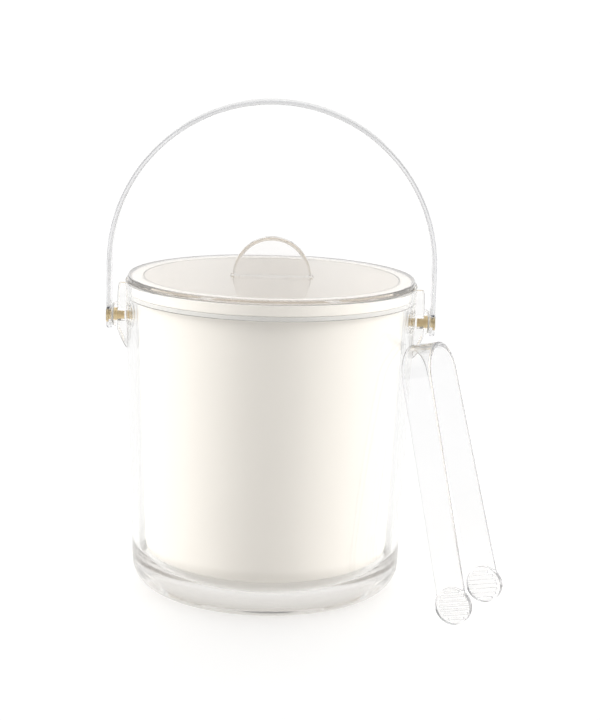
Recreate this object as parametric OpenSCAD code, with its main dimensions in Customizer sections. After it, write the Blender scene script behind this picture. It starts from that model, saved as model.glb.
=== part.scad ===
// Double-walled ice bucket: clear outer shell, ivory liner, clear lid with a
// half-round knob, clear swinging handle on two brass pivots, and a pair of
// clear one-piece tongs that stands beside it. Millimetres, +Z up.
// The origin is the centre of the bucket's underside, +X through the right pivot.

/* [Shell] */
// Height of the shell's rim above the table
shell_h = 174; // [140:1:210]
// Outer radius of the shell at its rim
shell_rim_r = 81.4; // [76:0.1:98]
// Outer radius that the tapered wall would reach at the table
shell_base_r = 75.3; // [62:0.1:81]
// Radius of the rounded edge at the foot, outside
shell_foot_r = 14.5; // [8:0.5:20]
// Radius of the rounded edge at the floor, inside
shell_cove_r = 22; // [12:0.5:26]
// Wall thickness just above the floor
shell_wall = 4.0; // [3:0.1:5]
// Wall thickness just below the ledge for the liner
shell_wall_top = 5.2; // [4.8:0.1:6]
// Thickness of the clear floor
shell_floor = 5.0; // [3:0.1:8]
// Wall thickness of the rim above the ledge
rim_wall = 3.8; // [3:0.1:4.7]

/* [Liner] */
// Wall thickness of the liner
liner_wall = 2.7; // [2:0.1:3.5]
// Thickness of the liner's floor
liner_floor = 3.0; // [2:0.1:5]
// Radius of the liner's outer foot edge
liner_foot_r = 12; // [6:0.5:18]
// Gap between the liner and the shell's wall at the ledge
liner_gap_top = 1.4; // [0.8:0.1:2]
// Gap between the liner and the shell's wall at the floor
liner_gap_base = 4.0; // [2:0.1:6]
// Height of the liner's underside above the shell's floor
liner_lift = 11.0; // [3:0.5:14]
// Height of the collar at the liner's mouth
collar_h = 6.3; // [4:0.1:9]
// Gap between the collar and the rim, all round
collar_gap = 0.3; // [0.1:0.05:0.4]
// Thickness of the seal between the collar and the shell's ledge
seal_t = 2.5; // [1.5:0.1:4]

/* [Lid] */
// How far the lid's edge stays inside the shell's rim
lid_inset = 1.4; // [0:0.1:3]
// Thickness of the lid
lid_t = 3.0; // [2:0.1:5]
// Radius of the lid's rounded edge
lid_edge_r = 0.8; // [0.3:0.1:1]
// Thickness of the disc under the lid that drops into the mouth
plug_t = 3.0; // [2:0.1:5]
// Gap between that disc and the liner's mouth, all round
plug_gap = 0.6; // [0.3:0.1:1.5]
// Radius of the half-round knob
knob_r = 21.7; // [15:0.1:26]
// Thickness of the knob
knob_t = 9; // [6:0.5:14]
// How far the knob's foot reaches past the knob at each end
knob_foot_extra = 1.3; // [0.5:0.1:5]
// Thickness of that foot
knob_foot_t = 1.2; // [0.8:0.1:2]

/* [Ears] */
// Depth of the pivots below the shell's rim
pivot_drop = 21; // [17:0.5:30]
// How far an ear's face stands out from the wall at the pivot's height
ear_out = 4.5; // [3:0.1:8]
// Depth of the ears' tops below the shell's rim
ear_top_drop = 3; // [1:0.5:6]
// Width of an ear to each side of its boss
ear_margin = 0.9; // [0.3:0.1:3]
// How far the flat of an ear reaches below its boss
ear_down = 0.4; // [0:0.1:6]
// Height of the slope that brings an ear back to the wall
ear_slope = 12; // [6:0.5:18]
// Radius of the round boss on an ear's face
boss_r = 7.1; // [6:0.1:9]
// Height of that boss
boss_h = 2.3; // [1:0.1:4]

/* [Handle] */
// Width of the handle's strip
strip_w = 15; // [12:0.5:20]
// Thickness of the handle's strip
strip_t = 2.5; // [2:0.1:4]
// Straight length of each leg above its pivot
leg_h = 30; // [20:0.5:50]
// How far the round eye at the end of a leg stands out past the strip's edges
eye_margin = 0.5; // [0.2:0.1:2]
// Thickness of the eye
eye_t = 2.8; // [2.7:0.1:4]
// Thickness of the washer between the boss and the eye
washer_t = 1.0; // [0.8:0.1:2]
// Radius of that washer
washer_r = 6.2; // [5:0.1:7]
// Gap left between the washer and the eye
swing_gap = 0.3; // [0.2:0.05:0.5]

/* [Pivot screws] */
// Radius of the screw's head
head_r = 4.6; // [4:0.1:5.5]
// Thickness of the head
head_t = 1.1; // [0.8:0.1:1.2]
// Radius of the shoulder that the eye turns on
shoulder_r = 3.2; // [2.8:0.1:3.6]
// Radius of the threaded end
thread_r = 2.4; // [2:0.1:2.6]
// Length that the thread stops short of the insert's far end
thread_short = 0.5; // [0.2:0.1:1.5]
// Running clearance between the shoulder and the eye, on the radius
running_gap = 0.05; // [0.02:0.01:0.1]
// How far the brass insert's radius goes past the shoulder's
insert_past = 0.4; // [0.2:0.1:0.6]
// Length of the insert
insert_l = 6.0; // [4:0.1:6.5]

/* [Tongs] */
// Overall length of the tongs
tongs_l = 151; // [140:1:160]
// Width of the strip
tongs_w = 17; // [12:0.5:20]
// Thickness of the strip
tongs_t = 2.6; // [2:0.1:4]
// Outer radius of the bow at the top
bow_r = 18; // [14:0.5:22]
// Angle that each arm spreads from parallel
spread = 3; // [1:0.5:6]
// Radius of the round grips
grip_r = 10.25; // [8.75:0.25:13]
// Thickness of a grip without its ribs
grip_t = 4.2; // [3:0.1:6]
// Ribs on each grip
rib_count = 7; // [5:1:9]
// Height of a rib
rib_h = 1.0; // [0.5:0.1:1.5]
// Where the tongs stand round the bucket, from the right pivot towards the front
tongs_bearing = 23.2; // [18:0.1:60]
// Distance from the shell's wall to the middle of the bow that leans towards it
bow_gap = 9.9; // [9.9:0.1:30]
// Turn of the tongs about the vertical
tongs_turn = 27; // [22:1:30]
// Lean of the tongs towards the bucket
tongs_lean = 13.5; // [10:0.5:20]

/* [Hidden] */
$fn = 96;

taper = atan((shell_rim_r - shell_base_r) / shell_h);
function shell_r(z) = shell_base_r + z * tan(taper);

// Inside of the shell: the ledge, then a wall that thickens upwards
ledge_depth = collar_h + seal_t;
ledge_z = shell_h - ledge_depth;
counterbore_r = shell_rim_r - rim_wall;
shell_in_top_r = shell_r(ledge_z) - shell_wall_top;
shell_in_base_r = shell_r(shell_floor) - shell_wall;

// Liner, hung by its collar
liner_z = shell_floor + liner_lift;
liner_top_r = shell_in_top_r - liner_gap_top;
liner_base_r = shell_in_base_r - liner_gap_base
    + (liner_top_r - shell_in_base_r + liner_gap_base)
    * (liner_z - shell_floor) / (ledge_z - shell_floor);
collar_r = counterbore_r - collar_gap;
collar_z = shell_h - collar_h;
mouth_r = liner_top_r - liner_wall;

// Lid
lid_r = shell_rim_r - lid_inset;
lid_z = shell_h;
lid_top = lid_z + lid_t;
plug_r = mouth_r - plug_gap;
knob_foot_l = 2 * (knob_r + knob_foot_extra);

// Ears
pivot_z = shell_h - pivot_drop;
ear_face_x = shell_r(pivot_z) + ear_out;
ear_w = 2 * (boss_r + ear_margin);
ear_top_z = shell_h - ear_top_drop;
ear_flat_z = pivot_z - boss_r - ear_down;
ear_low_z = ear_flat_z - ear_slope;

// Pivots, each the same distance out along X
boss_x = ear_face_x + boss_h;
washer_x = boss_x + washer_t;
eye_x = washer_x + swing_gap;
eye_out_x = eye_x + eye_t;
recess_floor_x = eye_out_x - head_t - swing_gap;
shoulder_end_x = eye_out_x - head_t;
thread_l = insert_l - thread_short;
insert_r = shoulder_r + insert_past;
eye_r = strip_w / 2 + eye_margin;
arch_r = eye_x + eye_t / 2 + strip_t / 2;

// Tongs on the table: how far out their grips stand, for the bow to reach the wall
bow_reach = tongs_l - grip_r;
tongs_out = shell_r(grip_r + bow_reach * cos(tongs_lean)) + bow_gap + bow_reach * sin(tongs_lean);
tongs_x = tongs_out * cos(tongs_bearing);
tongs_y = tongs_out * sin(tongs_bearing);

// Tongs in their own frame: X from arm to arm, Z along the arms, origin between the grips
bow_z = tongs_l - grip_r - bow_r;
arm_l = bow_z / cos(spread) + bow_r * tan(spread);
grip_out_x = bow_r / cos(spread) + bow_z * tan(spread);
flex_split = 0.1;
rib_disc_r = grip_r - 1.6;
rib_pitch = 2 * rib_disc_r / rib_count;

clear_acrylic = [0.86, 0.90, 0.92, 0.45];
ivory = [0.95, 0.92, 0.87];
brass = [0.80, 0.58, 0.25];
milky = [0.92, 0.92, 0.90, 0.8];

// ---- shared shapes ----

// Half section of a tapered cup's solid, with a true arc at its foot
module cup_section(base_r, top_r, z_low, z_top, foot) {
    lean = atan((top_r - base_r) / (z_top - z_low));
    arc_x = base_r + foot * tan(lean) - foot / cos(lean);
    translate([0, z_low]) {
        polygon([[0, 0], [arc_x, 0],
                 [arc_x + foot * cos(lean), foot - foot * sin(lean)],
                 [top_r, z_top - z_low], [0, z_top - z_low]]);
        translate([arc_x, foot]) intersection() {
            circle(foot);
            translate([-arc_x, -foot]) square([arc_x + foot, 2 * foot]);
        }
    }
}

// Cylinder along X from x1 to x2 at the pivots' height
module pivot_cylinder(x1, x2, r) {
    translate([x1, 0, pivot_z]) rotate([0, 90, 0]) cylinder(h = x2 - x1, r = r);
}

module both_sides() {
    children();
    mirror([1, 0, 0]) children();
}

// ---- bucket ----

module outer_shell() {
    color(clear_acrylic) rotate_extrude() difference() {
        cup_section(shell_base_r, shell_rim_r, 0, shell_h, shell_foot_r);
        cup_section(shell_in_base_r, shell_in_top_r, shell_floor, ledge_z, shell_cove_r);
        translate([0, ledge_z]) square([counterbore_r, ledge_depth + 1]);
    }
}

// One ear on the +X side: a lug bonded to the wall, with a round boss on its face
module ear() {
    difference() {
        union() {
            intersection() {
                translate([ear_face_x, 0, 0]) rotate([90, 0, -90])
                    linear_extrude(ear_face_x / 2) ear_outline();
                rotate([90, 0, 0]) linear_extrude(ear_w + 2, center = true)
                    polygon([[ear_face_x / 2, ear_top_z], [ear_face_x, ear_top_z],
                             [ear_face_x, ear_flat_z], [shell_r(ear_low_z), ear_low_z],
                             [ear_face_x / 2, ear_low_z]]);
            }
            pivot_cylinder(ear_face_x - 1, boss_x, boss_r);
        }
        cylinder(h = shell_h, r1 = shell_base_r, r2 = shell_rim_r);
        pivot_cylinder(boss_x - insert_l, boss_x + 1, insert_r);
    }
}

// Outline of an ear seen from the side: straight sides and round ends
module ear_outline() {
    top = ear_top_z - ear_w / 2;
    low = ear_low_z + ear_w / 2;
    translate([0, top]) circle(d = ear_w);
    translate([0, low]) circle(d = ear_w);
    translate([-ear_w / 2, low]) square([ear_w, top - low]);
}

module ear_right() { color(clear_acrylic) ear(); }

module ear_left() { color(clear_acrylic) mirror([1, 0, 0]) ear(); }

module inner_liner() {
    color(ivory) rotate_extrude() difference() {
        union() {
            cup_section(liner_base_r, liner_top_r, liner_z, shell_h, liner_foot_r);
            translate([0, collar_z]) square([collar_r, collar_h]);
        }
        cup_section(liner_base_r - liner_wall, mouth_r, liner_z + liner_floor,
                    shell_h, liner_foot_r - liner_wall);
    }
}

// Flat ring between the collar and the ledge
module rim_seal() {
    color(milky) rotate_extrude() translate([liner_top_r + collar_gap, ledge_z])
        square([counterbore_r - liner_top_r - 2 * collar_gap, collar_z - ledge_z]);
}

// ---- lid ----

module lid_disc() {
    color(clear_acrylic) translate([0, 0, lid_z]) rotate_extrude() {
        square([lid_r - lid_edge_r, lid_t]);
        translate([0, lid_edge_r]) square([lid_r, lid_t - 2 * lid_edge_r]);
        for (z = [lid_edge_r, lid_t - lid_edge_r])
            translate([lid_r - lid_edge_r, z]) circle(lid_edge_r);
    }
}

module lid_plug() {
    color(clear_acrylic) translate([0, 0, lid_z - plug_t]) cylinder(h = plug_t, r = plug_r);
}

module knob() {
    color(clear_acrylic) {
        translate([-knob_foot_l / 2, -knob_t / 2, lid_top])
            cube([knob_foot_l, knob_t, knob_foot_t]);
        intersection() {
            translate([0, 0, lid_top]) rotate([90, 0, 0])
                cylinder(h = knob_t, r = knob_r, center = true);
            translate([-knob_r, -knob_t, lid_top]) cube([2 * knob_r, 2 * knob_t, knob_r + 1]);
        }
    }
}

// ---- handle and its pivots ----

// Arch seen from the front, with radius r: a half circle on two straight legs
module arch_outline(r) {
    translate([0, pivot_z + leg_h]) circle(r);
    translate([-r, pivot_z]) square([2 * r, leg_h]);
}

module handle() {
    color(clear_acrylic) difference() {
        union() {
            intersection() {
                rotate([90, 0, 0]) linear_extrude(strip_w, center = true) difference() {
                    arch_outline(arch_r);
                    arch_outline(arch_r - strip_t);
                }
                translate([-2 * arch_r, -strip_w, pivot_z])
                    cube([4 * arch_r, 2 * strip_w, leg_h + 2 * arch_r]);
            }
            both_sides() pivot_cylinder(eye_x, eye_out_x, eye_r);
        }
        both_sides() {
            pivot_cylinder(eye_x - 1, eye_out_x + 1, shoulder_r + running_gap);
            pivot_cylinder(recess_floor_x, eye_out_x + 1, head_r + swing_gap);
        }
    }
}

module pivot_screws() {
    slot_w = 1.0;
    slot_depth = 0.5;
    color(brass) both_sides() difference() {
        union() {
            pivot_cylinder(boss_x - thread_l, boss_x, thread_r);
            pivot_cylinder(boss_x, shoulder_end_x, shoulder_r);
            pivot_cylinder(shoulder_end_x, eye_out_x, head_r);
        }
        translate([eye_out_x - slot_depth, -slot_w / 2, pivot_z - head_r - 1])
            cube([1, slot_w, 2 * head_r + 2]);
    }
}

module handle_washers() {
    color(milky) both_sides() difference() {
        pivot_cylinder(boss_x, washer_x, washer_r);
        pivot_cylinder(boss_x - 1, washer_x + 1, shoulder_r + running_gap);
    }
}

module ear_inserts() {
    color(brass) both_sides() difference() {
        pivot_cylinder(boss_x - insert_l, boss_x, insert_r);
        pivot_cylinder(boss_x - insert_l - 1, boss_x + 1, thread_r);
    }
}

// ---- tongs ----

// Stands the tongs on their grips and leans them towards the bucket
module stand_tongs() {
    translate([tongs_x, -tongs_y, grip_r]) rotate([0, 0, 90 - tongs_turn])
        rotate([-tongs_lean, 0, 0]) children();
}

// Half of the strip, on the +X side: a quarter of the bow, then a straight arm
module arm_outline() {
    intersection() {
        translate([0, bow_z]) rotate(spread) {
            intersection() {
                difference() {
                    circle(bow_r);
                    circle(bow_r - tongs_t);
                }
                square(2 * bow_r);
            }
            translate([bow_r - tongs_t, -arm_l]) square([tongs_t, arm_l]);
        }
        translate([flex_split / 2, -grip_r]) square([2 * grip_out_x, tongs_l + grip_r]);
    }
}

module grip() {
    inner_x = grip_out_x - grip_t;
    translate([inner_x, 0, 0]) rotate([0, 90, 0]) cylinder(h = grip_t, r = grip_r);
    intersection() {
        translate([inner_x - rib_h, 0, 0]) rotate([0, 90, 0])
            cylinder(h = rib_h + 1, r = rib_disc_r);
        for (i = [0 : rib_count - 1])
            translate([inner_x - rib_h, -grip_r, (i - (rib_count - 1) / 2) * rib_pitch - rib_pitch / 4])
                cube([rib_h + 1, 2 * grip_r, rib_pitch / 2]);
    }
}

module tongs_arm() {
    rotate([90, 0, 0]) linear_extrude(tongs_w, center = true) arm_outline();
    grip();
}

module tongs_front_arm() {
    color(clear_acrylic) stand_tongs() mirror([1, 0, 0]) tongs_arm();
}

module tongs_rear_arm() { color(clear_acrylic) stand_tongs() tongs_arm(); }

outer_shell();
ear_left();
ear_right();
inner_liner();
rim_seal();
lid_disc();
lid_plug();
knob();
handle();
pivot_screws();
handle_washers();
ear_inserts();
tongs_front_arm();
tongs_rear_arm();
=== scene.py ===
# %% [markdown]
# # A clear ice bucket, its lid, its handle and its tongs
#
# The real thing is a thick tub of clear acrylic with an opaque ivory liner hung inside it. A clear
# disc with a half-round knob lies on the rim, a bent clear strip is the handle, and a pair of
# one-piece clear tongs leans beside it. The mechanical shapes were settled in CAD. This lesson
# builds the looks round them: rounded edges, clear plastic, moulded ivory, brass, and soft light.
#
# The first step loads that CAD model as a fixed frame. Every size below is in millimetres, as on a
# workshop drawing, and is turned into metres when a mesh is made.

# %% Load the frame and measure it
import math
import bmesh
import bpy
from mathutils import Matrix, Vector


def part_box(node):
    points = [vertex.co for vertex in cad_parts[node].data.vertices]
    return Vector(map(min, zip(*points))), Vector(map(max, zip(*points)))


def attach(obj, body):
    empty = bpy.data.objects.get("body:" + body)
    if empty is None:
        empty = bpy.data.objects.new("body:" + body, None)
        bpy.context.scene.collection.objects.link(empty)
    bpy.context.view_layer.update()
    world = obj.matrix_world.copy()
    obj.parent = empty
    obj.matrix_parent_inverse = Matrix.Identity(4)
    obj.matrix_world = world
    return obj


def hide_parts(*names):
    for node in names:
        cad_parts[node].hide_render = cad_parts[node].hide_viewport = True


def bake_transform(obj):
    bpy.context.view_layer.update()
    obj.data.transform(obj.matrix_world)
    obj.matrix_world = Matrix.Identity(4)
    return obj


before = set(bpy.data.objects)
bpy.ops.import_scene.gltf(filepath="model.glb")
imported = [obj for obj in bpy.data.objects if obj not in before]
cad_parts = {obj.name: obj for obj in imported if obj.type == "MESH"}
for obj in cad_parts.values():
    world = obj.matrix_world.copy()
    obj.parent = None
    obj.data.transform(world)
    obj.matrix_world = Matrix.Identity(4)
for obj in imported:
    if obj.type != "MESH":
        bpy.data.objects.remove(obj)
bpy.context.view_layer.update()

MM = 0.001


def box_mm(node):
    """Lowest and highest corners of a CAD node, in millimetres."""
    low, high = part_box(node)
    return low / MM, high / MM


shell_high = box_mm("outer_shell")[1]
lid_low, lid_high = box_mm("lid_disc")
screw_low, screw_high = box_mm("pivot_screws")
rim_r, rim_z = shell_high.x, shell_high.z
pivot_z = (screw_low.z + screw_high.z) / 2
print(f"rim radius {rim_r:.1f} mm at height {rim_z:.1f} mm, pivots at {pivot_z:.1f} mm")

# %% [markdown]
# ## The camera
#
# A product shot uses a long lens from a little above, so that upright walls stay nearly parallel.
# A camera can be aimed by hand, by a constraint, or by working out its three axes. Working them out
# is exact, and it lets the camera lean by a degree and a half, as a hand-levelled one does.

# %% Aim the camera
camera_aim = Vector((16.96, 0, 129.35)) * MM
camera_distance = 1.100
looking_down = math.radians(11.52)
turned_right = math.radians(0.16)
leaning = math.radians(1.57)

forward = Vector((math.sin(turned_right) * math.cos(looking_down),
                  math.cos(turned_right) * math.cos(looking_down), -math.sin(looking_down)))
level_right = forward.cross(Vector((0, 0, 1))).normalized()
level_up = level_right.cross(forward)
right = level_right * math.cos(leaning) + level_up * math.sin(leaning)
up = level_up * math.cos(leaning) - level_right * math.sin(leaning)

camera = bpy.data.objects.new("camera", bpy.data.cameras.new("camera"))
bpy.context.scene.collection.objects.link(camera)
camera.matrix_world = Matrix((
    (right.x, up.x, -forward.x, 0), (right.y, up.y, -forward.y, 0),
    (right.z, up.z, -forward.z, 0), (0, 0, 0, 1)))
camera.location = camera_aim - forward * camera_distance
camera.data.sensor_width = 36
camera.data.lens = 97.9
camera.data.clip_end = 60
bpy.context.scene.camera = camera
print("camera at", [round(v, 3) for v in camera.location], "m, lens", camera.data.lens, "mm")

# %% [markdown]
# ## The table and the light
#
# Clear plastic has no colour of its own: it shows what is round it. On a white sweep it nearly
# vanishes, and its edges read as thin grey lines only where they bend the sight line towards
# something darker. The sweep could be curved up behind, as paper is. Here it is one wide flat
# sheet that glows a little, so that it stays evenly white from every side.

# %% Lay the white sweep
def new_object(name, mesh):
    piece = bpy.data.objects.new(name, mesh)
    bpy.context.scene.collection.objects.link(piece)
    return piece


def start_finish(name, **settings):
    """A new material with its shader's own sockets set by name."""
    finish = bpy.data.materials.new(name)
    finish.use_nodes = True
    shader = finish.node_tree.nodes["Principled BSDF"]
    for socket, value in settings.items():
        shader.inputs[socket.replace("_", " ")].default_value = value
    return finish


def add_node(finish, kind, **settings):
    """A node in a material. Settings that name an input set it, and the rest set properties."""
    node = finish.node_tree.nodes.new(kind)
    for name, value in settings.items():
        socket = node.inputs.get(name.replace("_", " "))
        if socket is None:
            setattr(node, name, value)
        else:
            socket.default_value = value
    return node


def wire(finish, start, output, end, socket):
    finish.node_tree.links.new(start.outputs[output], end.inputs[socket])


def spots(finish, scale, detail=3.0, squash=(1, 1, 1)):
    """Noise on object coordinates, scale in patches per metre, stretched by squash."""
    place = add_node(finish, "ShaderNodeTexCoord")
    mapping = add_node(finish, "ShaderNodeMapping", Scale=squash)
    noise = add_node(finish, "ShaderNodeTexNoise", Scale=scale, Detail=detail)
    wire(finish, place, "Object", mapping, "Vector")
    wire(finish, mapping, "Vector", noise, "Vector")
    return noise


def spread(finish, source, low, high):
    """Turns a noise value from 0.3 to 0.7 into a number from low to high."""
    node = add_node(finish, "ShaderNodeMapRange", From_Min=0.3, From_Max=0.7, To_Min=low, To_Max=high)
    wire(finish, source, 0, node, "Value")
    return node


def tint(finish, source, first, second):
    """Mixes two colours by a noise value."""
    node = add_node(finish, "ShaderNodeMix", data_type="RGBA")
    for socket in node.inputs:
        if socket.identifier == "A_Color":
            socket.default_value = (*first, 1)
        if socket.identifier == "B_Color":
            socket.default_value = (*second, 1)
    finish.node_tree.links.new(source.outputs[0], node.inputs["Factor"])
    return next(s for s in node.outputs if s.identifier == "Result_Color")


def shader_of(finish):
    return finish.node_tree.nodes["Principled BSDF"]


def set_colour(finish, result):
    finish.node_tree.links.new(result, shader_of(finish).inputs["Base Color"])


def set_bump(finish, source, strength, distance):
    bump = add_node(finish, "ShaderNodeBump", Strength=strength, Distance=distance)
    wire(finish, source, 0, bump, "Height")
    wire(finish, bump, "Normal", shader_of(finish), "Normal")


sweep_finish = start_finish("white_sweep", Roughness=0.85, Emission_Strength=0.24)
shader_of(sweep_finish).inputs["Emission Color"].default_value = (1, 1, 1, 1)
paper = spots(sweep_finish, 9)
set_colour(sweep_finish, tint(sweep_finish, paper, (0.90, 0.90, 0.90), (0.93, 0.93, 0.93)))

sweep_half, sweep_z = 9.0, -0.0003
sweep_mesh = bpy.data.meshes.new("sweep")
sweep_mesh.from_pydata([(x * sweep_half, y * sweep_half, sweep_z)
                        for x, y in ((-1, -1), (1, -1), (1, 1), (-1, 1))], [], [(0, 1, 2, 3)])
sweep_mesh.materials.append(sweep_finish)
sweep = new_object("sweep", sweep_mesh)
print("white sweep", 2 * sweep_half, "m across")

# %% [markdown]
# ## The soft boxes
#
# Two tall soft boxes stand at the sides and a weaker one hangs above. They shade the liner from
# bright sides to a darker middle. Seen in a clear wall, such a box would burn it out to white, so
# they light the pieces but aren't seen in or through them. In a studio, a maker would hide them
# with flags. They also leave the sweep alone.

# %% Set the soft boxes
def soft_box(name, place, aim, width, height, watts):
    """An area lamp at place, facing aim."""
    lamp = bpy.data.lights.new(name, "AREA")
    lamp.shape, lamp.size, lamp.size_y, lamp.energy = "RECTANGLE", width, height, watts
    holder = bpy.data.objects.new(name, lamp)
    bpy.context.scene.collection.objects.link(holder)
    holder.location = place
    holder.rotation_euler = (Vector(aim) - Vector(place)).to_track_quat("-Z", "Y").to_euler()
    holder.visible_camera = False
    holder.visible_glossy = False
    holder.visible_transmission = False
    return holder


middle = (0, 0, 0.12)
boxes = [soft_box("box_left", (-1.2, -0.08, 0.45), middle, 0.6, 1.3, 22),
         soft_box("box_right", (1.25, -0.08, 0.45), middle, 0.6, 1.3, 22),
         soft_box("box_top", (0, -0.35, 1.7), middle, 1.2, 1.0, 11)]

# The room keeps the sweep evenly white, so no box lights it.
not_lit = bpy.data.collections.new("not_lit_by_boxes")
not_lit.objects.link(sweep)
not_lit.collection_objects[0].light_linking.link_state = "EXCLUDE"
for holder in boxes:
    holder.light_linking.receiver_collection = not_lit

print("soft boxes", [box.name for box in boxes])

# %% [markdown]
# ## The room
#
# The rest of the light comes from the room itself. One flat colour would do, but then clear edges
# would have nothing darker to bend towards. So the room glows overhead and behind and is dim at
# the front. Light that leaves a clear or glossy piece never meets a black wall, because pale card
# stands all round. What the camera sees directly is plain white.

# %% Light the room
room = bpy.data.worlds.new("room")
bpy.context.scene.world = room
room.use_nodes = True
room_nodes, room_links = room.node_tree.nodes, room.node_tree.links
direction = room_nodes.new("ShaderNodeTexCoord")
axes = room_nodes.new("ShaderNodeSeparateXYZ")
room_links.new(direction.outputs["Generated"], axes.inputs[0])


def room_glow(axis, low, high, glow):
    """Light that grows smoothly from none to glow as a direction leans from low to high on an axis."""
    node = room_nodes.new("ShaderNodeMapRange")
    node.interpolation_type = "SMOOTHSTEP"
    node.inputs["From Min"].default_value, node.inputs["From Max"].default_value = low, high
    node.inputs["To Min"].default_value, node.inputs["To Max"].default_value = 0.0, glow
    room_links.new(axes.outputs[axis], node.inputs["Value"])
    return node.outputs[0]


def room_math(operation, *terms):
    """Adds, multiplies or compares two terms, each a number or another node's output."""
    node = room_nodes.new("ShaderNodeMath")
    node.operation = operation
    for socket, term in zip(node.inputs, terms):
        if isinstance(term, float):
            socket.default_value = term
        else:
            room_links.new(term, socket)
    return node.outputs[0]


base_glow, card_glow, seen_glow = 0.08, 0.34, 1.2
back_glow = room_glow("Y", 0.55, 0.95, 0.8)
top_glow = room_glow("Z", 0.25, 0.9, 1.13)
total_glow = room_math("ADD", room_math("ADD", back_glow, top_glow), base_glow)
ray = room_nodes.new("ShaderNodeLightPath")
from_clear = room_math("MAXIMUM", ray.outputs["Is Transmission Ray"], ray.outputs["Is Glossy Ray"])
walls = room_math("MAXIMUM", total_glow, room_math("MULTIPLY", from_clear, card_glow))
pick = room_nodes.new("ShaderNodeMix")
pick.inputs["B"].default_value = seen_glow
room_links.new(ray.outputs["Is Camera Ray"], pick.inputs["Factor"])
room_links.new(walls, pick.inputs["A"])
backdrop = room_nodes["Background"]
backdrop.inputs["Color"].default_value = (1.0, 1.0, 1.0, 1)
room_links.new(pick.outputs[0], backdrop.inputs["Strength"])
print("room:", len(room_nodes), "nodes")

# %% [markdown]
# ## How far light is followed
#
# Light runs a long way inside thick acrylic, turning back at wall after wall. Followed for too few
# turns it comes out black. So many turns are allowed, and light still caught in a wall after a
# dozen is let out to the room, as it would leak out of a real wall at some scratch or corner.

# %% Set the turns of light
scene = bpy.context.scene
scene.view_settings.view_transform = "Standard"
scene.view_settings.look = "None"
scene.cycles.caustics_reflective = False
scene.cycles.caustics_refractive = False
most_turns, let_out_after = 96, 12
scene.cycles.max_bounces = most_turns
scene.cycles.transmission_bounces = most_turns
scene.cycles.glossy_bounces = most_turns
scene.cycles.transparent_max_bounces = 16
scene.cycles.diffuse_bounces = 4
scene.cycles.use_denoising = True
scene.cycles.use_fast_gi = True
scene.cycles.fast_gi_method = "REPLACE"
scene.cycles.ao_bounces_render = let_out_after
room.light_settings.distance = 0.0005
print("light is followed for", most_turns, "turns, or", let_out_after, "inside one wall")

# %% [markdown]
# ## Clear acrylic
#
# Cast acrylic is very clear, a little cool at its thick edges, and never perfectly flat: wiping
# leaves hairlines and the casting leaves a slow waviness. A glass shader alone looks too clean, and
# a mixed transparent shader loses the bending of light. So a Principled shader with full
# transmission and acrylic's own index of 1.49 gets a slow, very shallow bump, and a roughness that
# varies in patches. Light is also lost with depth, so thick places are a little darker. Four
# copies differ in tint, one for each slot of the part.

# %% Make the clear finishes
def clear_acrylic(name, first, second, waviness, haze, density=7.0, deep=(0.76, 0.73, 0.69)):
    finish = start_finish(name, IOR=1.49, Transmission_Weight=1.0)
    patches = spots(finish, 22, 4)
    set_colour(finish, tint(finish, patches, first, second))
    hairlines = spots(finish, 240, 5, (1, 1, 0.08))
    wire(finish, spread(finish, hairlines, 0.0, haze), "Result", shader_of(finish), "Roughness")
    slow = spots(finish, 16, 1)
    set_bump(finish, slow, waviness, 0.0006)
    depth = add_node(finish, "ShaderNodeVolumeAbsorption", Density=density)
    depth.inputs["Color"].default_value = (*deep, 1)
    wire(finish, depth, "Volume", finish.node_tree.nodes["Material Output"], "Volume")
    return finish


shell_clear = clear_acrylic("clear_shell", (0.955, 0.957, 0.95), (0.975, 0.975, 0.97), 0.12, 0.012)
lid_clear = clear_acrylic("clear_lid", (0.955, 0.945, 0.935), (0.975, 0.965, 0.955), 0.08, 0.02)
# Light runs a long way inside a thin strip before it comes out at an edge, so the edges look grey.
strip_deep = dict(density=45.0, deep=(0.80, 0.80, 0.81))
handle_clear = clear_acrylic("clear_handle", (0.92, 0.92, 0.92), (0.94, 0.94, 0.94), 0.10, 0.02, **strip_deep)
tongs_clear = clear_acrylic("clear_tongs", (0.95, 0.95, 0.95), (0.97, 0.97, 0.97), 0.10, 0.02, **strip_deep)
print("clear finishes:", [m.name for m in (shell_clear, lid_clear, handle_clear, tongs_clear)])

# %% [markdown]
# ## Ivory, rubber, nylon and brass
#
# The liner is moulded plastic: a soft sheen, a faint flow mottling, and a fine grain from its
# mould. The seal is milky rubber and the washers are nylon, both half clear and matt. The screws
# and inserts are turned brass, brighter where they have been handled, with fine tool marks.

# %% Make the solid finishes
ivory = start_finish("moulded_ivory", IOR=1.5, Coat_Weight=0.15, Coat_Roughness=0.2)
flow = spots(ivory, 14, 3, (1, 1, 0.35))
set_colour(ivory, tint(ivory, flow, (0.775, 0.735, 0.675), (0.805, 0.765, 0.705)))
wire(ivory, spread(ivory, spots(ivory, 60, 4), 0.30, 0.42), "Result", shader_of(ivory), "Roughness")
set_bump(ivory, spots(ivory, 900, 2), 0.08, 0.0001)

rubber = start_finish("milky_rubber", IOR=1.41, Transmission_Weight=0.35)
set_colour(rubber, tint(rubber, spots(rubber, 120, 3), (0.86, 0.84, 0.80), (0.93, 0.91, 0.88)))
wire(rubber, spread(rubber, spots(rubber, 300, 3), 0.35, 0.55), "Result", shader_of(rubber), "Roughness")
set_bump(rubber, spots(rubber, 1500, 2), 0.2, 0.00005)

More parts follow.
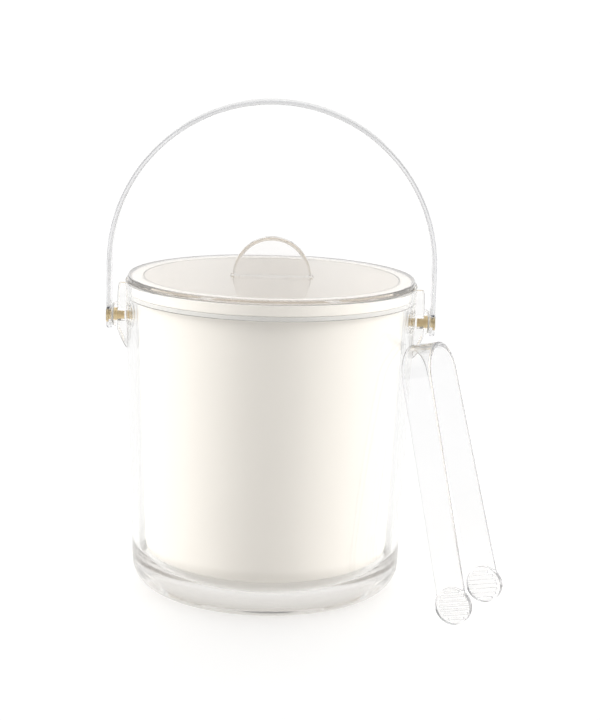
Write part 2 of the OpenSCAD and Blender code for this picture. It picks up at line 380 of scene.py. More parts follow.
nylon = start_finish("milky_nylon", IOR=1.53, Transmission_Weight=0.6)
set_colour(nylon, tint(nylon, spots(nylon, 200, 3), (0.90, 0.89, 0.86), (0.95, 0.94, 0.92)))
wire(nylon, spread(nylon, spots(nylon, 400, 3), 0.25, 0.4), "Result", shader_of(nylon), "Roughness")
set_bump(nylon, spots(nylon, 1800, 2), 0.2, 0.00004)

brass = start_finish("turned_brass", Metallic=1.0)
set_colour(brass, tint(brass, spots(brass, 350, 4), (0.90, 0.70, 0.38), (0.98, 0.83, 0.52)))
wire(brass, spread(brass, spots(brass, 500, 4), 0.32, 0.5), "Result", shader_of(brass), "Roughness")
set_bump(brass, spots(brass, 2500, 2, (0.15, 1, 1)), 0.25, 0.00003)
print("solid finishes:", [m.name for m in (ivory, rubber, nylon, brass)])

# %% [markdown]
# ## How a round piece is made
#
# The tub, liner, lid, seal, washers and screws are all turned shapes: one outline, spun about an
# axis. They could be cylinders with cuts, or a Screw modifier. Here an outline is drawn as points
# with a radius at each corner, because a real edge is always a little round, and a small Geometry
# Nodes tree sweeps it round a circle. One tree then serves every turned piece, with the number of
# steps as its input.

# %% Draw outlines with round corners
def rounded(corners, steps=6):
    """Outline through (radius, height, corner rounding) corners, with each corner an arc."""
    outline = []
    count = len(corners)
    for i, (x, y, rounding) in enumerate(corners):
        here = Vector((x, y))
        if rounding == 0:
            outline.append(here)
            continue
        before = (Vector(corners[i - 1][:2]) - here).normalized()
        after = (Vector(corners[(i + 1) % count][:2]) - here).normalized()
        half = before.angle(after) / 2
        centre = here + (before + after).normalized() * (rounding / math.sin(half))
        first = here + before * (rounding / math.tan(half)) - centre
        last = here + after * (rounding / math.tan(half)) - centre
        sweep_angle = first.angle_signed(last)
        for k in range(steps + 1):
            turn = -sweep_angle * k / steps
            outline.append(centre + Matrix.Rotation(turn, 2) @ first)
    return outline


print("a square with 1 mm corners has", len(rounded([(0, 0, 1), (9, 0, 1), (9, 9, 1), (0, 9, 1)])), "points")

# %% [markdown]
# ## The turning tree
#
# A Geometry Nodes tree is a recipe with named sizes. Three short helpers start one, add its nodes
# and end it, so that each later tree reads as its own steps. This one sweeps the outline round a
# tiny guide circle, then welds the points that meet on the axis.

# %% Build the turning tree
def new_tree(name, sizes):
    """An empty Geometry Nodes tree with geometry in and out and named size inputs."""
    tree = bpy.data.node_groups.new(name, "GeometryNodeTree")
    tree.interface.new_socket("Geometry", in_out="INPUT", socket_type="NodeSocketGeometry")
    for label, kind, value in sizes:
        socket = tree.interface.new_socket(label, in_out="INPUT", socket_type="NodeSocket" + kind)
        if value is not None:
            socket.default_value = value
    tree.interface.new_socket("Geometry", in_out="OUTPUT", socket_type="NodeSocketGeometry")
    return tree, tree.nodes.new("NodeGroupInput"), tree.nodes.new("NodeGroupOutput")


def step(tree, kind, *wires, **settings):
    """Adds a node. Each wire is (from node, its output, this node's input)."""
    node = tree.nodes.new(kind)
    for name, value in settings.items():
        if name in node.inputs:
            node.inputs[name].default_value = value
        else:
            setattr(node, name, value)
    for start, output, socket in wires:
        tree.links.new(start.outputs[output], node.inputs[socket])
    return node


def end_tree(tree, given, result, last):
    """Every tree ends in real geometry with its finish set."""
    real = step(tree, "GeometryNodeRealizeInstances", (last, 0, "Geometry"))
    smooth = step(tree, "GeometryNodeSetShadeSmooth", (real, 0, "Geometry"))
    painted = step(tree, "GeometryNodeSetMaterial", (smooth, 0, "Geometry"), (given, "Finish", "Material"))
    tree.links.new(painted.outputs[0], result.inputs[0])


turning, given, result = new_tree("turned_piece", [
    ("Steps", "Int", 96), ("Guide radius", "Float", 0.001), ("Finish", "Material", None)])
outline_curve = step(turning, "GeometryNodeMeshToCurve", (given, "Geometry", "Mesh"))
guide = step(turning, "GeometryNodeCurvePrimitiveCircle",
             (given, "Steps", "Resolution"), (given, "Guide radius", "Radius"))
spun = step(turning, "GeometryNodeCurveToMesh", (guide, "Curve", "Curve"),
            (outline_curve, 0, "Profile Curve"))
welded = step(turning, "GeometryNodeMergeByDistance", (spun, 0, "Geometry"), Distance=1e-6)
end_tree(turning, given, result, welded)
print("turning tree:", len(turning.nodes), "nodes")

# %% [markdown]
# ## From a recipe to a mesh
#
# A tree is run once and its result kept as a plain mesh. Joining and cutting are done on closed
# meshes, and the shading is settled last: faces out, corners sharp, flat faces flat. Pieces are
# always moved inside their mesh, so that every object stays at the origin.

# %% Run a tree, then settle the mesh
def bake(piece, tree, **inputs):
    """Runs a tree on a piece with its inputs set, and keeps the result as the piece's own mesh."""
    modifier = piece.modifiers.new("build", "NODES")
    modifier.node_group = tree
    names = {s.name: s.identifier for s in tree.interface.items_tree if s.in_out == "INPUT"}
    for label, value in inputs.items():
        modifier[names[label.replace("_", " ")]] = value
    return keep_result(piece)


def keep_result(piece):
    graph = bpy.context.evaluated_depsgraph_get()
    mesh = bpy.data.meshes.new_from_object(piece.evaluated_get(graph))
    piece.modifiers.clear()
    piece.data = mesh
    return piece


def face_outwards(piece):
    work = bmesh.new()
    work.from_mesh(piece.data)
    bmesh.ops.remove_doubles(work, verts=work.verts, dist=1e-6)
    bmesh.ops.recalc_face_normals(work, faces=work.faces)
    work.to_mesh(piece.data)
    work.free()


def settle(piece, finish):
    """Faces out, sharp edges kept, flat faces shaded flat, one finish."""
    face_outwards(piece)
    piece.data.materials.clear()
    piece.data.materials.append(finish)
    for face in piece.data.polygons:
        face.material_index = 0
        face.use_smooth = True
    piece.data.set_sharp_from_angle(angle=math.radians(36))
    even = piece.modifiers.new("even", "WEIGHTED_NORMAL")
    even.keep_sharp = True
    return keep_result(piece)


def turned(name, outline, finish, closed=False, steps=192):
    """Turns an outline of (radius, height) points in millimetres round the Z axis."""
    guide_r = 1.0
    count = len(outline)
    mesh = bpy.data.meshes.new(name)
    mesh.from_pydata([((r - guide_r) * MM, -z * MM, 0) for r, z in outline],
                     [(i, (i + 1) % count) for i in range(count if closed else count - 1)], [])
    piece = bake(new_object(name, mesh), turning, Steps=steps, Guide_radius=guide_r * MM, Finish=finish)
    face_outwards(piece)
    return piece


def place_in_mesh(piece, matrix):
    """Moves the mesh, not the object, so that the object stays at the origin."""
    piece.data.transform(matrix)
    piece.data.update()
    return piece


def combine(piece, other, operation):
    """Joins or cuts one closed piece with another, and takes the other away."""
    cut = piece.modifiers.new("combine", "BOOLEAN")
    cut.operation, cut.object, cut.solver = operation, other, "MANIFOLD"
    keep_result(piece)
    bpy.data.objects.remove(other)
    return piece


def gather(name, *pieces):
    """One object that holds the meshes of several."""
    work = bmesh.new()
    for one in pieces:
        work.from_mesh(one.data)
    mesh = bpy.data.meshes.new(name)
    work.to_mesh(mesh)
    work.free()
    for one in pieces:
        bpy.data.objects.remove(one)
    return new_object(name, mesh)


def tell(piece):
    corners = [v.co / MM for v in piece.data.vertices]
    low = [round(min(c[k] for c in corners), 1) for k in range(3)]
    high = [round(max(c[k] for c in corners), 1) for k in range(3)]
    print(f"{piece.name}: {len(piece.data.polygons)} faces, from {low} to {high} mm")


print("helpers ready")

# %% [markdown]
# ## The outer shell
#
# The tub is one thick turned wall with a big round at its foot, a matching cove inside, and a
# stepped rim: a ledge that carries the liner's collar, then a thin upright lip. The wall has to be
# real, with an inner and an outer face, because the bending of light between the two is what
# makes a clear tub look thick. A thin sheet would look like a plastic bag.

# %% Turn the shell
base_r, foot_round, cove_round = 75.3, 14.5, 22.0
lip_r, ledge_r, ledge_z = 77.6, 75.89, 165.2
inner_base_r, floor_z = 71.475, 5.0
lid_gap = 0.05

shell = turned("shell", rounded([
    (0, 0, 0), (base_r, 0, foot_round), (rim_r, rim_z - lid_gap, 0.9), (lip_r, rim_z - lid_gap, 0.7),
    (lip_r, ledge_z, 0.3), (ledge_r, ledge_z, 0.4), (inner_base_r, floor_z, cove_round),
    (0, floor_z, 0)], steps=10), shell_clear)
tell(shell)

# %% [markdown]
# ## The liner and its seal
#
# The ivory liner is a second cup, thinner, hung from a square collar at its mouth. A flat ring of
# rubber lies between the collar and the shell's ledge, and keeps water out of the gap. Both are
# turned. Their bands under the lid are what gives the rim its fine lines.

# %% Turn the liner and the seal
liner_low, liner_high = box_mm("inner_liner")
collar_r, collar_z = liner_high.x, 167.7
liner_foot_r, liner_neck_r = 67.95, 74.23
mouth_r, cup_foot_r, cup_z = 71.79, 65.25, 19.0

liner = turned("liner", rounded([
    (0, liner_low.z, 0), (liner_foot_r, liner_low.z, 12), (liner_neck_r, collar_z, 0.3),
    (collar_r, collar_z, 0.5), (collar_r, rim_z - 0.1, 0.8), (mouth_r, rim_z - 0.1, 1.0),
    (cup_foot_r, cup_z, 9.3), (0, cup_z, 0)], steps=8), ivory)
settle(liner, ivory)
tell(liner)
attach(liner, "bucket")
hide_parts("inner_liner")

seal = turned("seal", rounded([
    (74.79, ledge_z + 0.05, 0.4), (77.3, ledge_z + 0.05, 0.4),
    (77.3, collar_z - 0.05, 0.4), (74.79, collar_z - 0.05, 0.4)]), rubber, closed=True)
settle(seal, rubber)
tell(seal)
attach(seal, "bucket")
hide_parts("rim_seal")

# %% [markdown]
# ## The ears
#
# At each side a lug is cemented to the wall: straight sides, round ends, a flat face that slopes
# back to the wall at its foot, and a round boss for the pivot. It could be a box cut to shape. It
# is lofted from rings instead, because its back has to follow the tapered wall exactly. The back
# goes a hair into the wall and is then joined to it: solvent cement leaves no surface between two
# clear pieces, and a surface left there would show as a false mirror.
# The boss and its bore are turned, then joined and cut.

# %% Loft one ear
face_x, ear_half_w, ear_top_z = 85.16, 8.0, 171.0
slope_z, ear_foot_z = 145.5, 133.5
boss_r, boss_x = 7.1, 87.46
insert_r, insert_l = 3.6, 6.0
bond = 0.15
to_right = Matrix.Translation((0, 0, pivot_z * MM)) @ Matrix.Rotation(math.pi / 2, 4, "Y")


def wall_r(z):
    """Outer radius of the shell at a height."""
    return base_r + z * (rim_r - base_r) / rim_z


def ear_face(z):
    """How far out the lug's face stands at a height."""
    back = min(1, max(0, (slope_z - z) / (slope_z - ear_foot_z)))
    return face_x + (wall_r(ear_foot_z) - face_x) * back


def lug_levels(inset):
    """Half widths of the lug at each height, from its foot to its top."""
    half, rows = ear_half_w - inset, []
    low, top = ear_foot_z + ear_half_w, ear_top_z - ear_half_w
    for k in range(13):
        turn = math.pi / 2 * (1 - k / 12)
        rows.append((half * math.cos(turn), low - half * math.sin(turn)))
    rows += [(half, slope_z), (half, (slope_z + top) / 2)]
    for k in range(13):
        turn = math.pi / 2 * k / 12
        rows.append((half * math.cos(turn), top + half * math.sin(turn)))
    return rows


def ear_on_right(name, finish):
    edge = 0.9
    rings = [(0, None)] + [(edge * (1 - math.cos(t)), edge * (1 - math.sin(t)))
                           for t in [math.pi / 2 * k / 5 for k in range(6)]]
    work = bmesh.new()
    grid = []
    for inset, drop in rings:
        ring = []
        for side in (1, -1):
            rows = lug_levels(inset)
            for half, z in rows if side == 1 else reversed(rows):
                y = half * side
                wall_x = math.sqrt((wall_r(z) - bond) ** 2 - y * y)
                x = wall_x if drop is None else max(ear_face(z) - drop, wall_x + 0.02)
                ring.append(work.verts.new((x * MM, y * MM, z * MM)))
        grid.append(ring)
    count = len(grid[0])
    for first, second in zip(grid, grid[1:]):
        for k in range(count):
            work.faces.new((first[k], first[(k + 1) % count], second[(k + 1) % count], second[k]))
    for ring in (grid[0], grid[-1]):
        for k in range(count // 2 - 1):
            work.faces.new((ring[k], ring[k + 1], ring[count - 2 - k], ring[count - 1 - k]))
    mesh = bpy.data.meshes.new(name)
    work.to_mesh(mesh)
    work.free()
    lug = new_object(name, mesh)
    face_outwards(lug)
    boss = turned("boss", rounded([(0, face_x - 2, 0), (boss_r, face_x - 2, 0),
                                   (boss_r, boss_x, 0.6), (0, boss_x, 0)]), finish, steps=96)
    bore = turned("bore", [(0, boss_x - insert_l - 0.05), (insert_r + 0.04, boss_x - insert_l - 0.05),
                           (insert_r + 0.04, boss_x + 1), (0, boss_x + 1)], finish, steps=64)
    combine(lug, place_in_mesh(boss, to_right), "UNION")
    combine(lug, place_in_mesh(bore, to_right), "DIFFERENCE")
    return lug


for side in (1, -1):
    ear = ear_on_right("ear", shell_clear)
    if side < 0:
        place_in_mesh(ear, Matrix.Scale(-1, 4, (1, 0, 0)))
        face_outwards(ear)
    tell(ear)
    combine(shell, ear, "UNION")
settle(shell, shell_clear)
tell(shell)
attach(shell, "bucket")
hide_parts("outer_shell", "ear_left", "ear_right")

# %% [markdown]
# ## The pivots
#
# Each pivot is a brass shoulder screw in a knurled brass insert, with a nylon washer under the
# handle's eye. The knurl is one small ridge repeated round a circle, which is what instances are
# for: the tree places them round the circle and makes them real at the end.

# %% Build the knurling tree
knurling, given, result = new_tree("knurled_ring", [
    ("Ridges", "Int", 36), ("Ring radius", "Float", 0.0035), ("Ridge length", "Float", 0.005),
    ("Ridge size", "Float", 0.0004), ("Finish", "Material", None)])
ring = step(knurling, "GeometryNodeCurvePrimitiveCircle",
            (given, "Ridges", "Resolution"), (given, "Ring radius", "Radius"))
stations = step(knurling, "GeometryNodeCurveToPoints", (ring, "Curve", "Curve"),
                (given, "Ridges", "Count"))
ridge_profile = step(knurling, "GeometryNodeCurvePrimitiveCircle", (given, "Ridge size", "Radius"),
                     Resolution=6)
ridge_line = step(knurling, "GeometryNodeCurvePrimitiveLine", mode="DIRECTION", Direction=(0, 0, 1))
knurling.links.new(given.outputs["Ridge length"], ridge_line.inputs["Length"])
ridge = step(knurling, "GeometryNodeCurveToMesh", (ridge_line, "Curve", "Curve"),
             (ridge_profile, "Curve", "Profile Curve"))
ridge.inputs["Fill Caps"].default_value = True
placed = step(knurling, "GeometryNodeInstanceOnPoints", (stations, "Points", "Points"),
              (ridge, "Mesh", "Instance"))
together = step(knurling, "GeometryNodeJoinGeometry", (placed, 0, "Geometry"))
knurling.links.new(given.outputs["Geometry"], together.inputs["Geometry"])
end_tree(knurling, given, result, together)
print("knurling tree:", len(knurling.nodes), "nodes")

# %% [markdown]
# ## Inserts, washers and screws
#
# Each is drawn once as an outline for the right-hand pivot, turned, laid on its side, and
# mirrored for the left. The screw's thread is drawn as plain rings: inside its insert nobody can
# see that they don't climb. Its slot is cut with a block.

# %% Turn the inserts, washers and screws
to_left = Matrix.Scale(-1, 4, (1, 0, 0)) @ to_right
shoulder_r, thread_r, head_r = 3.2, 2.4, 4.6
washer_r, washer_x = 6.2, 88.46
head_x, end_x = 90.46, screw_high.x


def pair(name, make):
    """The same piece at both pivots, as one object."""
    return gather(name, place_in_mesh(make(), to_right), place_in_mesh(make(), to_left))


def one_insert():
    low, high = boss_x - insert_l, boss_x - 0.05
    tube = turned("insert", rounded([(thread_r + 0.03, low, 0.1), (insert_r - 0.35, low, 0.1),
                                     (insert_r - 0.35, high - 0.9, 0), (insert_r, high - 0.9, 0.1),
                                     (insert_r, high, 0.15), (thread_r + 0.03, high, 0.1)], steps=3),
                  brass, closed=True, steps=64)
    place_in_mesh(tube, Matrix.Translation((0, 0, -(low + 0.3) * MM)))
    bake(tube, knurling, Ridges=40, Ring_radius=(insert_r - 0.35) * MM,
         Ridge_length=(insert_l - 1.4) * MM, Ridge_size=0.3 * MM, Finish=brass)
    return place_in_mesh(tube, Matrix.Translation((0, 0, (low + 0.3) * MM)))


def one_washer():
    hole_r, low, high = shoulder_r + 0.06, boss_x + 0.03, washer_x - 0.03
    return turned("washer", rounded([(hole_r, low, 0.15), (washer_r, low, 0.3), (washer_r, high, 0.3),
                                     (hole_r, high, 0.15)], steps=4), nylon, closed=True, steps=96)


def one_screw():
    thread_l, pitch = 5.5, 0.7
    thread_low = boss_x - thread_l
    outline = [(0, thread_low), (thread_r - 0.4, thread_low)]
    for k in range(int((thread_l - 0.5) / pitch)):
        outline += [(thread_r, thread_low + 0.3 + k * pitch),
                    (thread_r - 0.35, thread_low + 0.65 + k * pitch)]
    outline += [(thread_r - 0.35, boss_x), (shoulder_r - 0.15, boss_x), (shoulder_r, boss_x + 0.15),
                (shoulder_r, head_x), (head_r - 0.15, head_x), (head_r, head_x + 0.15)]
    outline += [(head_r - 0.45 * (1 - math.cos(t)), end_x - 0.45 * (1 - math.sin(t)))
                for t in [math.pi / 2 * k / 6 for k in range(7)]] + [(0, end_x)]
    screw = turned("screw", outline, brass, steps=96)
    slot_half, slot_depth = 0.5, 0.5
    cutter_mesh = bpy.data.meshes.new("slot_cutter")
    block = bmesh.new()
    bmesh.ops.create_cube(block, size=1)
    block.to_mesh(cutter_mesh)
    block.free()
    cutter = new_object("slot_cutter", cutter_mesh)
    place_in_mesh(cutter, Matrix.Translation((0, 0, (end_x + 1 - slot_depth) * MM))
                  @ Matrix.Diagonal((12 * MM, 2 * slot_half * MM, 2 * MM, 1)))
    combine(screw, cutter, "DIFFERENCE")
    return screw


for name, make, finish, node, slot in (
        ("brass_inserts", one_insert, brass, "ear_inserts", "brass"),
        ("nylon_washers", one_washer, nylon, "handle_washers", "washer_nylon"),
        ("brass_screws", one_screw, brass, "pivot_screws", "brass")):
    both = pair(name, make)
    settle(both, finish)
    tell(both)
    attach(both, "bucket")
    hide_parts(node)

# %% [markdown]
# ## The lid
#
# The lid is a clear disc with a second, smaller disc cemented under it, which drops into the
# liner's mouth and keeps the lid in place. Two turned discs would leave a surface between them
# that acts as a mirror, so both are turned as one outline, as the cement makes them one.

# %% Turn the lid
lid_r, lid_top = lid_high.x, lid_high.z
plug_low, plug_high = box_mm("lid_plug")

disc = turned("clear_lid", rounded([
    (0, plug_low.z, 0), (plug_high.x, plug_low.z, 0.5), (plug_high.x, lid_low.z, 0.15),
    (lid_r, lid_low.z, 0.8), (lid_r, lid_top, 0.9), (0, lid_top, 0)], steps=8), lid_clear)
settle(disc, lid_clear)
tell(disc)
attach(disc, "lid")
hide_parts("lid_disc", "lid_plug")

# %% [markdown]
# ## The knob
#
# The knob is half of a thick disc that stands on a slim foot. Its edge is rounded over, and the
# inner line of that round is what the eye follows. A bevel on a cut disc would do, but it is
# lofted from half rings, each a little smaller towards the two faces, which gives an even round.

# %% Loft the knob
knob_high = box_mm("knob")[1]
knob_r, knob_half_t, knob_round = 21.7, 4.5, 2.0
foot_half_l, foot_h = knob_high.x, 1.2


def loft(work, rings):
    """Skins closed rings of points and caps both ends."""
    made = [[work.verts.new(Vector(p) * MM) for p in ring] for ring in rings]
    count = len(made[0])
    for first, second in zip(made, made[1:]):
        for k in range(count):
            work.faces.new((first[k], first[(k + 1) % count], second[(k + 1) % count], second[k]))
    work.faces.new(made[0])
    work.faces.new(list(reversed(made[-1])))


def half_ring(radius, y):
    sunk = lid_top - 0.1
    arc = [(radius * math.cos(math.pi * k / 72), y, lid_top + radius * math.sin(math.pi * k / 72))
           for k in range(73)]
    return [(radius, y, sunk)] + arc + [(-radius, y, sunk)]


work = bmesh.new()
round_over = [(knob_round * (1 - math.cos(t)), knob_round * (1 - math.sin(t)))
              for t in [math.pi / 2 * k / 7 for k in range(8)]]
front_rings = [half_ring(knob_r - inset, -knob_half_t + drop) for drop, inset in round_over]
back_rings = [half_ring(knob_r - inset, knob_half_t - drop) for drop, inset in reversed(round_over)]
loft(work, front_rings + back_rings)
half_disc_mesh = bpy.data.meshes.new("knob")
work.to_mesh(half_disc_mesh)
work.free()
knob = new_object("half_round_knob", half_disc_mesh)
face_outwards(knob)

work = bmesh.new()
foot_rings = []
for height, inset in ((-0.1, 0), (foot_h - 0.5, 0), (foot_h - 0.25, 0.07), (foot_h - 0.07, 0.25),
                      (foot_h, 0.5)):
    half_l, half_w = foot_half_l - inset, knob_half_t - inset
    corner = 1.2 - inset
    ring_points = []
    for quarter, (sx, sy) in enumerate(((1, 1), (-1, 1), (-1, -1), (1, -1))):
        for k in range(6):
            turn = math.pi / 2 * (quarter + k / 5)
            ring_points.append((sx * (half_l - corner) + corner * math.cos(turn),
                                sy * (half_w - corner) + corner * math.sin(turn), lid_top + height))
    foot_rings.append(ring_points)
loft(work, foot_rings)
foot_mesh = bpy.data.meshes.new("knob_foot")
work.to_mesh(foot_mesh)
work.free()
knob_foot = new_object("knob_foot", foot_mesh)
face_outwards(knob_foot)
combine(knob, knob_foot, "UNION")
settle(knob, lid_clear)
tell(knob)
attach(knob, "lid")
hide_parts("knob")

# %% [markdown]
# ## Bent strips
#
# The handle and the tongs are both flat acrylic strip, warmed and bent. A strip follows a path, so
# a second tree sweeps a rectangle with slightly rounded corners along a line drawn flat on the
# bench. Drawn flat, the strip can't twist. It is stood up afterwards by moving its mesh.

# %% Build the bent strip tree
bending, given, result = new_tree("bent_strip", [
    ("Strip width", "Float", 0.015), ("Strip thickness", "Float", 0.0025),
    ("Edge round", "Float", 0.0004), ("Finish", "Material", None)])
path = step(bending, "GeometryNodeMeshToCurve", (given, "Geometry", "Mesh"))
upright = step(bending, "GeometryNodeSetCurveNormal", (path, 0, "Curve"), mode="Z_UP")
section = step(bending, "GeometryNodeCurvePrimitiveQuadrilateral",
               (given, "Strip thickness", "Width"), (given, "Strip width", "Height"))
eased = step(bending, "GeometryNodeFilletCurve", (section, "Curve", "Curve"),
             (given, "Edge round", "Radius"), mode="POLY", Count=7)
swept = step(bending, "GeometryNodeCurveToMesh", (upright, 0, "Curve"), (eased, 0, "Profile Curve"))
swept.inputs["Fill Caps"].default_value = True
end_tree(bending, given, result, swept)


def bent_strip(name, line, width, thickness, edge, finish):
    """A strip along a flat line of (x, y) points, its width across the bench."""
    mesh = bpy.data.meshes.new(name)
    mesh.from_pydata([(x * MM, y * MM, 0) for x, y in line], [(i, i + 1) for i in range(len(line) - 1)], [])
    strip = bake(new_object(name, mesh), bending, Strip_width=width * MM, Strip_thickness=thickness * MM,
                 Edge_round=edge * MM, Finish=finish)
    face_outwards(strip)
    return strip


stand_up = Matrix.Rotation(math.pi / 2, 4, "X")
print("bending tree:", len(bending.nodes), "nodes")

# %% [markdown]
# ## The handle
#
# Two straight legs and a half circle, with a round eye at each end that has a hole for the screw's
# shoulder and a recess for its head. The eyes are turned, joined to the strip so that the clear
# plastic is one solid body, and then bored.

# %% Bend the handle and bore its eyes
strip_w, strip_t, arch_mid_r, arch_z = 15.0, 2.5, 90.16, 183.0
eye_r, eye_x, eye_out_x = 8.0, 88.76, 91.56
recess_r, recess_x = 4.9, 90.16

handle_line = [(arch_mid_r, pivot_z + (arch_z - pivot_z) * k / 4) for k in range(4)]
handle_line += [(arch_mid_r * math.cos(math.pi * k / 256), arch_z + arch_mid_r * math.sin(math.pi * k / 256))
                for k in range(257)]
handle_line += [(-arch_mid_r, pivot_z + (arch_z - pivot_z) * k / 4) for k in (3, 2, 1, 0)]
bail = bent_strip("bail_handle", handle_line, strip_w, strip_t, 1.0, handle_clear)
place_in_mesh(bail, stand_up)
face_outwards(bail)


def one_eye():
    return turned("eye", rounded([(0, eye_x, 0), (eye_r, eye_x, 0.5), (eye_r, eye_out_x, 0.5),
                                  (0, eye_out_x, 0)]), handle_clear, steps=96)


def one_eye_cutter():
    hole_r = shoulder_r + 0.05
    return turned("eye_cutter", [(0, eye_x - 1), (hole_r, eye_x - 1), (hole_r, recess_x),
                                 (recess_r, recess_x), (recess_r, eye_out_x + 1), (0, eye_out_x + 1)],
                  handle_clear, steps=96)


eyes = pair("eyes", one_eye)
face_outwards(eyes)
combine(bail, eyes, "UNION")
eye_cutters = pair("eye_cutters", one_eye_cutter)
face_outwards(eye_cutters)
combine(bail, eye_cutters, "DIFFERENCE")
settle(bail, handle_clear)
tell(bail)
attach(bail, "handle")
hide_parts("handle")

# %% [markdown]
# ## The tongs
#
# The tongs are one strip bent round a bow, with a round grip cemented at each end. Seven ribs cross
# each grip's inner face. The ribs keep to a circle, so each rib's length is a chord, and the tree
# works it out from the rib's distance to the middle. The finished strip is a single mesh that
# crosses the joint at the top of the bow.

# %% Build the ribbing tree
ribbing, given, result = new_tree("grip_ribs", [
    ("Ribs", "Int", 7), ("Pitch", "Float", 0.0025), ("Rib circle", "Float", 0.0087),
    ("Rib width", "Float", 0.0012), ("Rib depth", "Float", 0.0014), ("Finish", "Material", None)])
last_rib = step(ribbing, "ShaderNodeMath", (given, "Ribs", 0), operation="SUBTRACT")
last_rib.inputs[1].default_value = 1
span = step(ribbing, "ShaderNodeMath", (last_rib, 0, 0), (given, "Pitch", 1), operation="MULTIPLY")
low_end = step(ribbing, "ShaderNodeMath", (span, 0, 0), operation="MULTIPLY")
low_end.inputs[1].default_value = -0.5
start_point = step(ribbing, "ShaderNodeCombineXYZ", (low_end, 0, "Z"))
pitch_step = step(ribbing, "ShaderNodeCombineXYZ", (given, "Pitch", "Z"))
rows = step(ribbing, "GeometryNodeMeshLine", (given, "Ribs", "Count"), (start_point, 0, "Start Location"),
            (pitch_step, 0, "Offset"), mode="OFFSET")
where = step(ribbing, "GeometryNodeInputPosition")
height_of = step(ribbing, "ShaderNodeSeparateXYZ", (where, 0, 0))
height_sq = step(ribbing, "ShaderNodeMath", (height_of, "Z", 0), (height_of, "Z", 1), operation="MULTIPLY")
circle_sq = step(ribbing, "ShaderNodeMath", (given, "Rib circle", 0), (given, "Rib circle", 1),
                 operation="MULTIPLY")
left_over = step(ribbing, "ShaderNodeMath", (circle_sq, 0, 0), (height_sq, 0, 1), operation="SUBTRACT")
half_chord = step(ribbing, "ShaderNodeMath", (left_over, 0, 0), operation="SQRT")
chord = step(ribbing, "ShaderNodeMath", (half_chord, 0, 0), operation="MULTIPLY")
chord.inputs[1].default_value = 2
stretch = step(ribbing, "ShaderNodeCombineXYZ", (chord, 0, "Y"), X=1.0, Z=1.0)
rib_line = step(ribbing, "GeometryNodeCurvePrimitiveLine")
rib_line.inputs["Start"].default_value = (0, -0.5, 0)
rib_line.inputs["End"].default_value = (0, 0.5, 0)
rib_section = step(ribbing, "GeometryNodeCurvePrimitiveQuadrilateral",
                   (given, "Rib depth", "Width"), (given, "Rib width", "Height"))
rib_eased = step(ribbing, "GeometryNodeFilletCurve", (rib_section, "Curve", "Curve"), mode="POLY", Count=3)
rib_round = step(ribbing, "ShaderNodeMath", (given, "Rib width", 0), operation="MULTIPLY")
rib_round.inputs[1].default_value = 0.3
ribbing.links.new(rib_round.outputs[0], rib_eased.inputs["Radius"])
one_rib = step(ribbing, "GeometryNodeCurveToMesh", (rib_line, "Curve", "Curve"),
               (rib_eased, 0, "Profile Curve"))
one_rib.inputs["Fill Caps"].default_value = True
placed = step(ribbing, "GeometryNodeInstanceOnPoints", (rows, "Mesh", "Points"),
              (one_rib, "Mesh", "Instance"), (stretch, 0, "Scale"))
end_tree(ribbing, given, result, placed)
print("ribbing tree:", len(ribbing.nodes), "nodes")

# %% [markdown]
# ## Bending the tongs
#
# The strip's line runs up one arm, round the bow and down the other. The grips are turned and
# ribbed, then joined to the arms. The whole is built upright and tilted into its place last.

# %% Bend the tongs, then add the grips
tongs_w, tongs_t, bow_mid_r, bow_z = 17.0, 2.6, 16.7, 122.75
opening, arm_l = math.radians(3), 123.86
grip_r, grip_t, grip_out_x = 10.25, 4.2, 24.458
rib_depth, rib_circle, rib_count = 1.0, 8.65, 7
rib_pitch = 2 * rib_circle / rib_count

stand_place = (Matrix.Translation(Vector((113.251, -48.539, 10.25)) * MM)
               @ Matrix.Rotation(math.radians(63), 4, "Z") @ Matrix.Rotation(math.radians(-13.5), 4, "X"))


def arm_point(down):
    """A point on the right arm's middle line, this far below the bow."""
    return (bow_mid_r * math.cos(opening) + down * math.sin(opening),
            bow_z + bow_mid_r * math.sin(opening) - down * math.cos(opening))


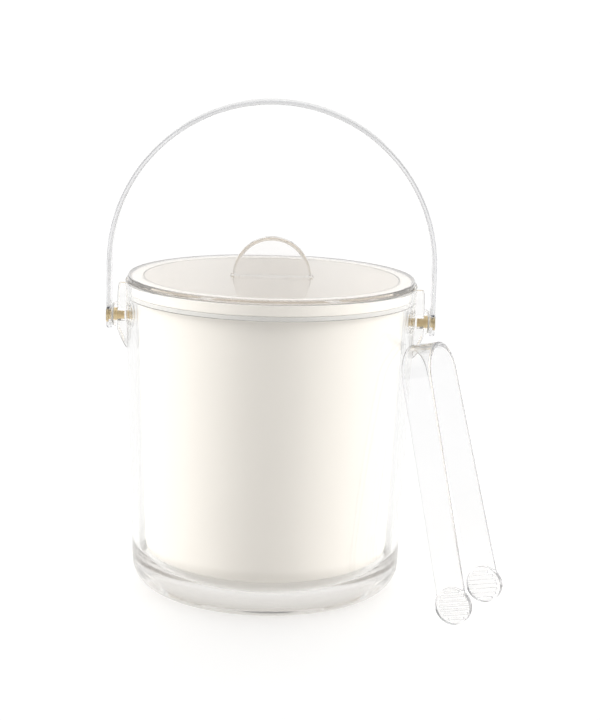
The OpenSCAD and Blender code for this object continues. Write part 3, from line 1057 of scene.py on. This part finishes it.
arm_line = [arm_point(arm_l * (1 - k / 24)) for k in range(24)]
bow_turns = [opening + (math.pi - 2 * opening) * k / 64 for k in range(65)]
bow_line = [(bow_mid_r * math.cos(t), bow_z + bow_mid_r * math.sin(t)) for t in bow_turns]
tongs_line = arm_line + bow_line + [(-x, z) for x, z in reversed(arm_line)]
tongs = bent_strip("clear_tongs", tongs_line, tongs_w, tongs_t, 1.0, tongs_clear)
place_in_mesh(tongs, stand_up)
face_outwards(tongs)

for side in (1, -1):
    grip = turned("grip", rounded([(0, grip_out_x - grip_t, 0), (grip_r, grip_out_x - grip_t, 0.5),
                                   (grip_r, grip_out_x + 0.04, 0.6), (0, grip_out_x + 0.04, 0)]),
                  tongs_clear, steps=96)
    place_in_mesh(grip, Matrix.Rotation(math.pi / 2, 4, "Y"))
    seed_mesh = bpy.data.meshes.new("ribs")
    ribs = bake(new_object("ribs", seed_mesh), ribbing, Ribs=rib_count, Pitch=rib_pitch * MM,
                Rib_circle=rib_circle * MM, Rib_width=rib_pitch / 2 * MM,
                Rib_depth=2 * rib_depth * MM, Finish=tongs_clear)
    place_in_mesh(ribs, Matrix.Translation(((grip_out_x - grip_t) * MM, 0, 0)))
    face_outwards(ribs)
    combine(grip, ribs, "UNION")
    if side < 0:
        place_in_mesh(grip, Matrix.Scale(-1, 4, (1, 0, 0)))
        face_outwards(grip)
    combine(tongs, grip, "UNION")

place_in_mesh(tongs, stand_place)
settle(tongs, tongs_clear)
tell(tongs)
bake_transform(tongs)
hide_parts("tongs_front_arm", "tongs_rear_arm")

# %% [markdown]
# ## Let light through the clear pieces
#
# A path tracer stops the straight line from a lamp to the liner at the first clear wall, and would
# leave the liner dark. Real acrylic lets nearly all of that light pass. So the clear pieces are
# left out of shadow lines, while the eye still sees them bend what is behind.

# %% Leave the clear pieces out of the shadows
clear_pieces = [o for o in scene.objects if o.type == "MESH" and not o.hide_render
                and o.data.materials and o.data.materials[0].name.startswith("clear_")]
for piece in clear_pieces:
    piece.visible_shadow = False
    piece.visible_diffuse = False
print("clear pieces:", sorted(o.name for o in clear_pieces))
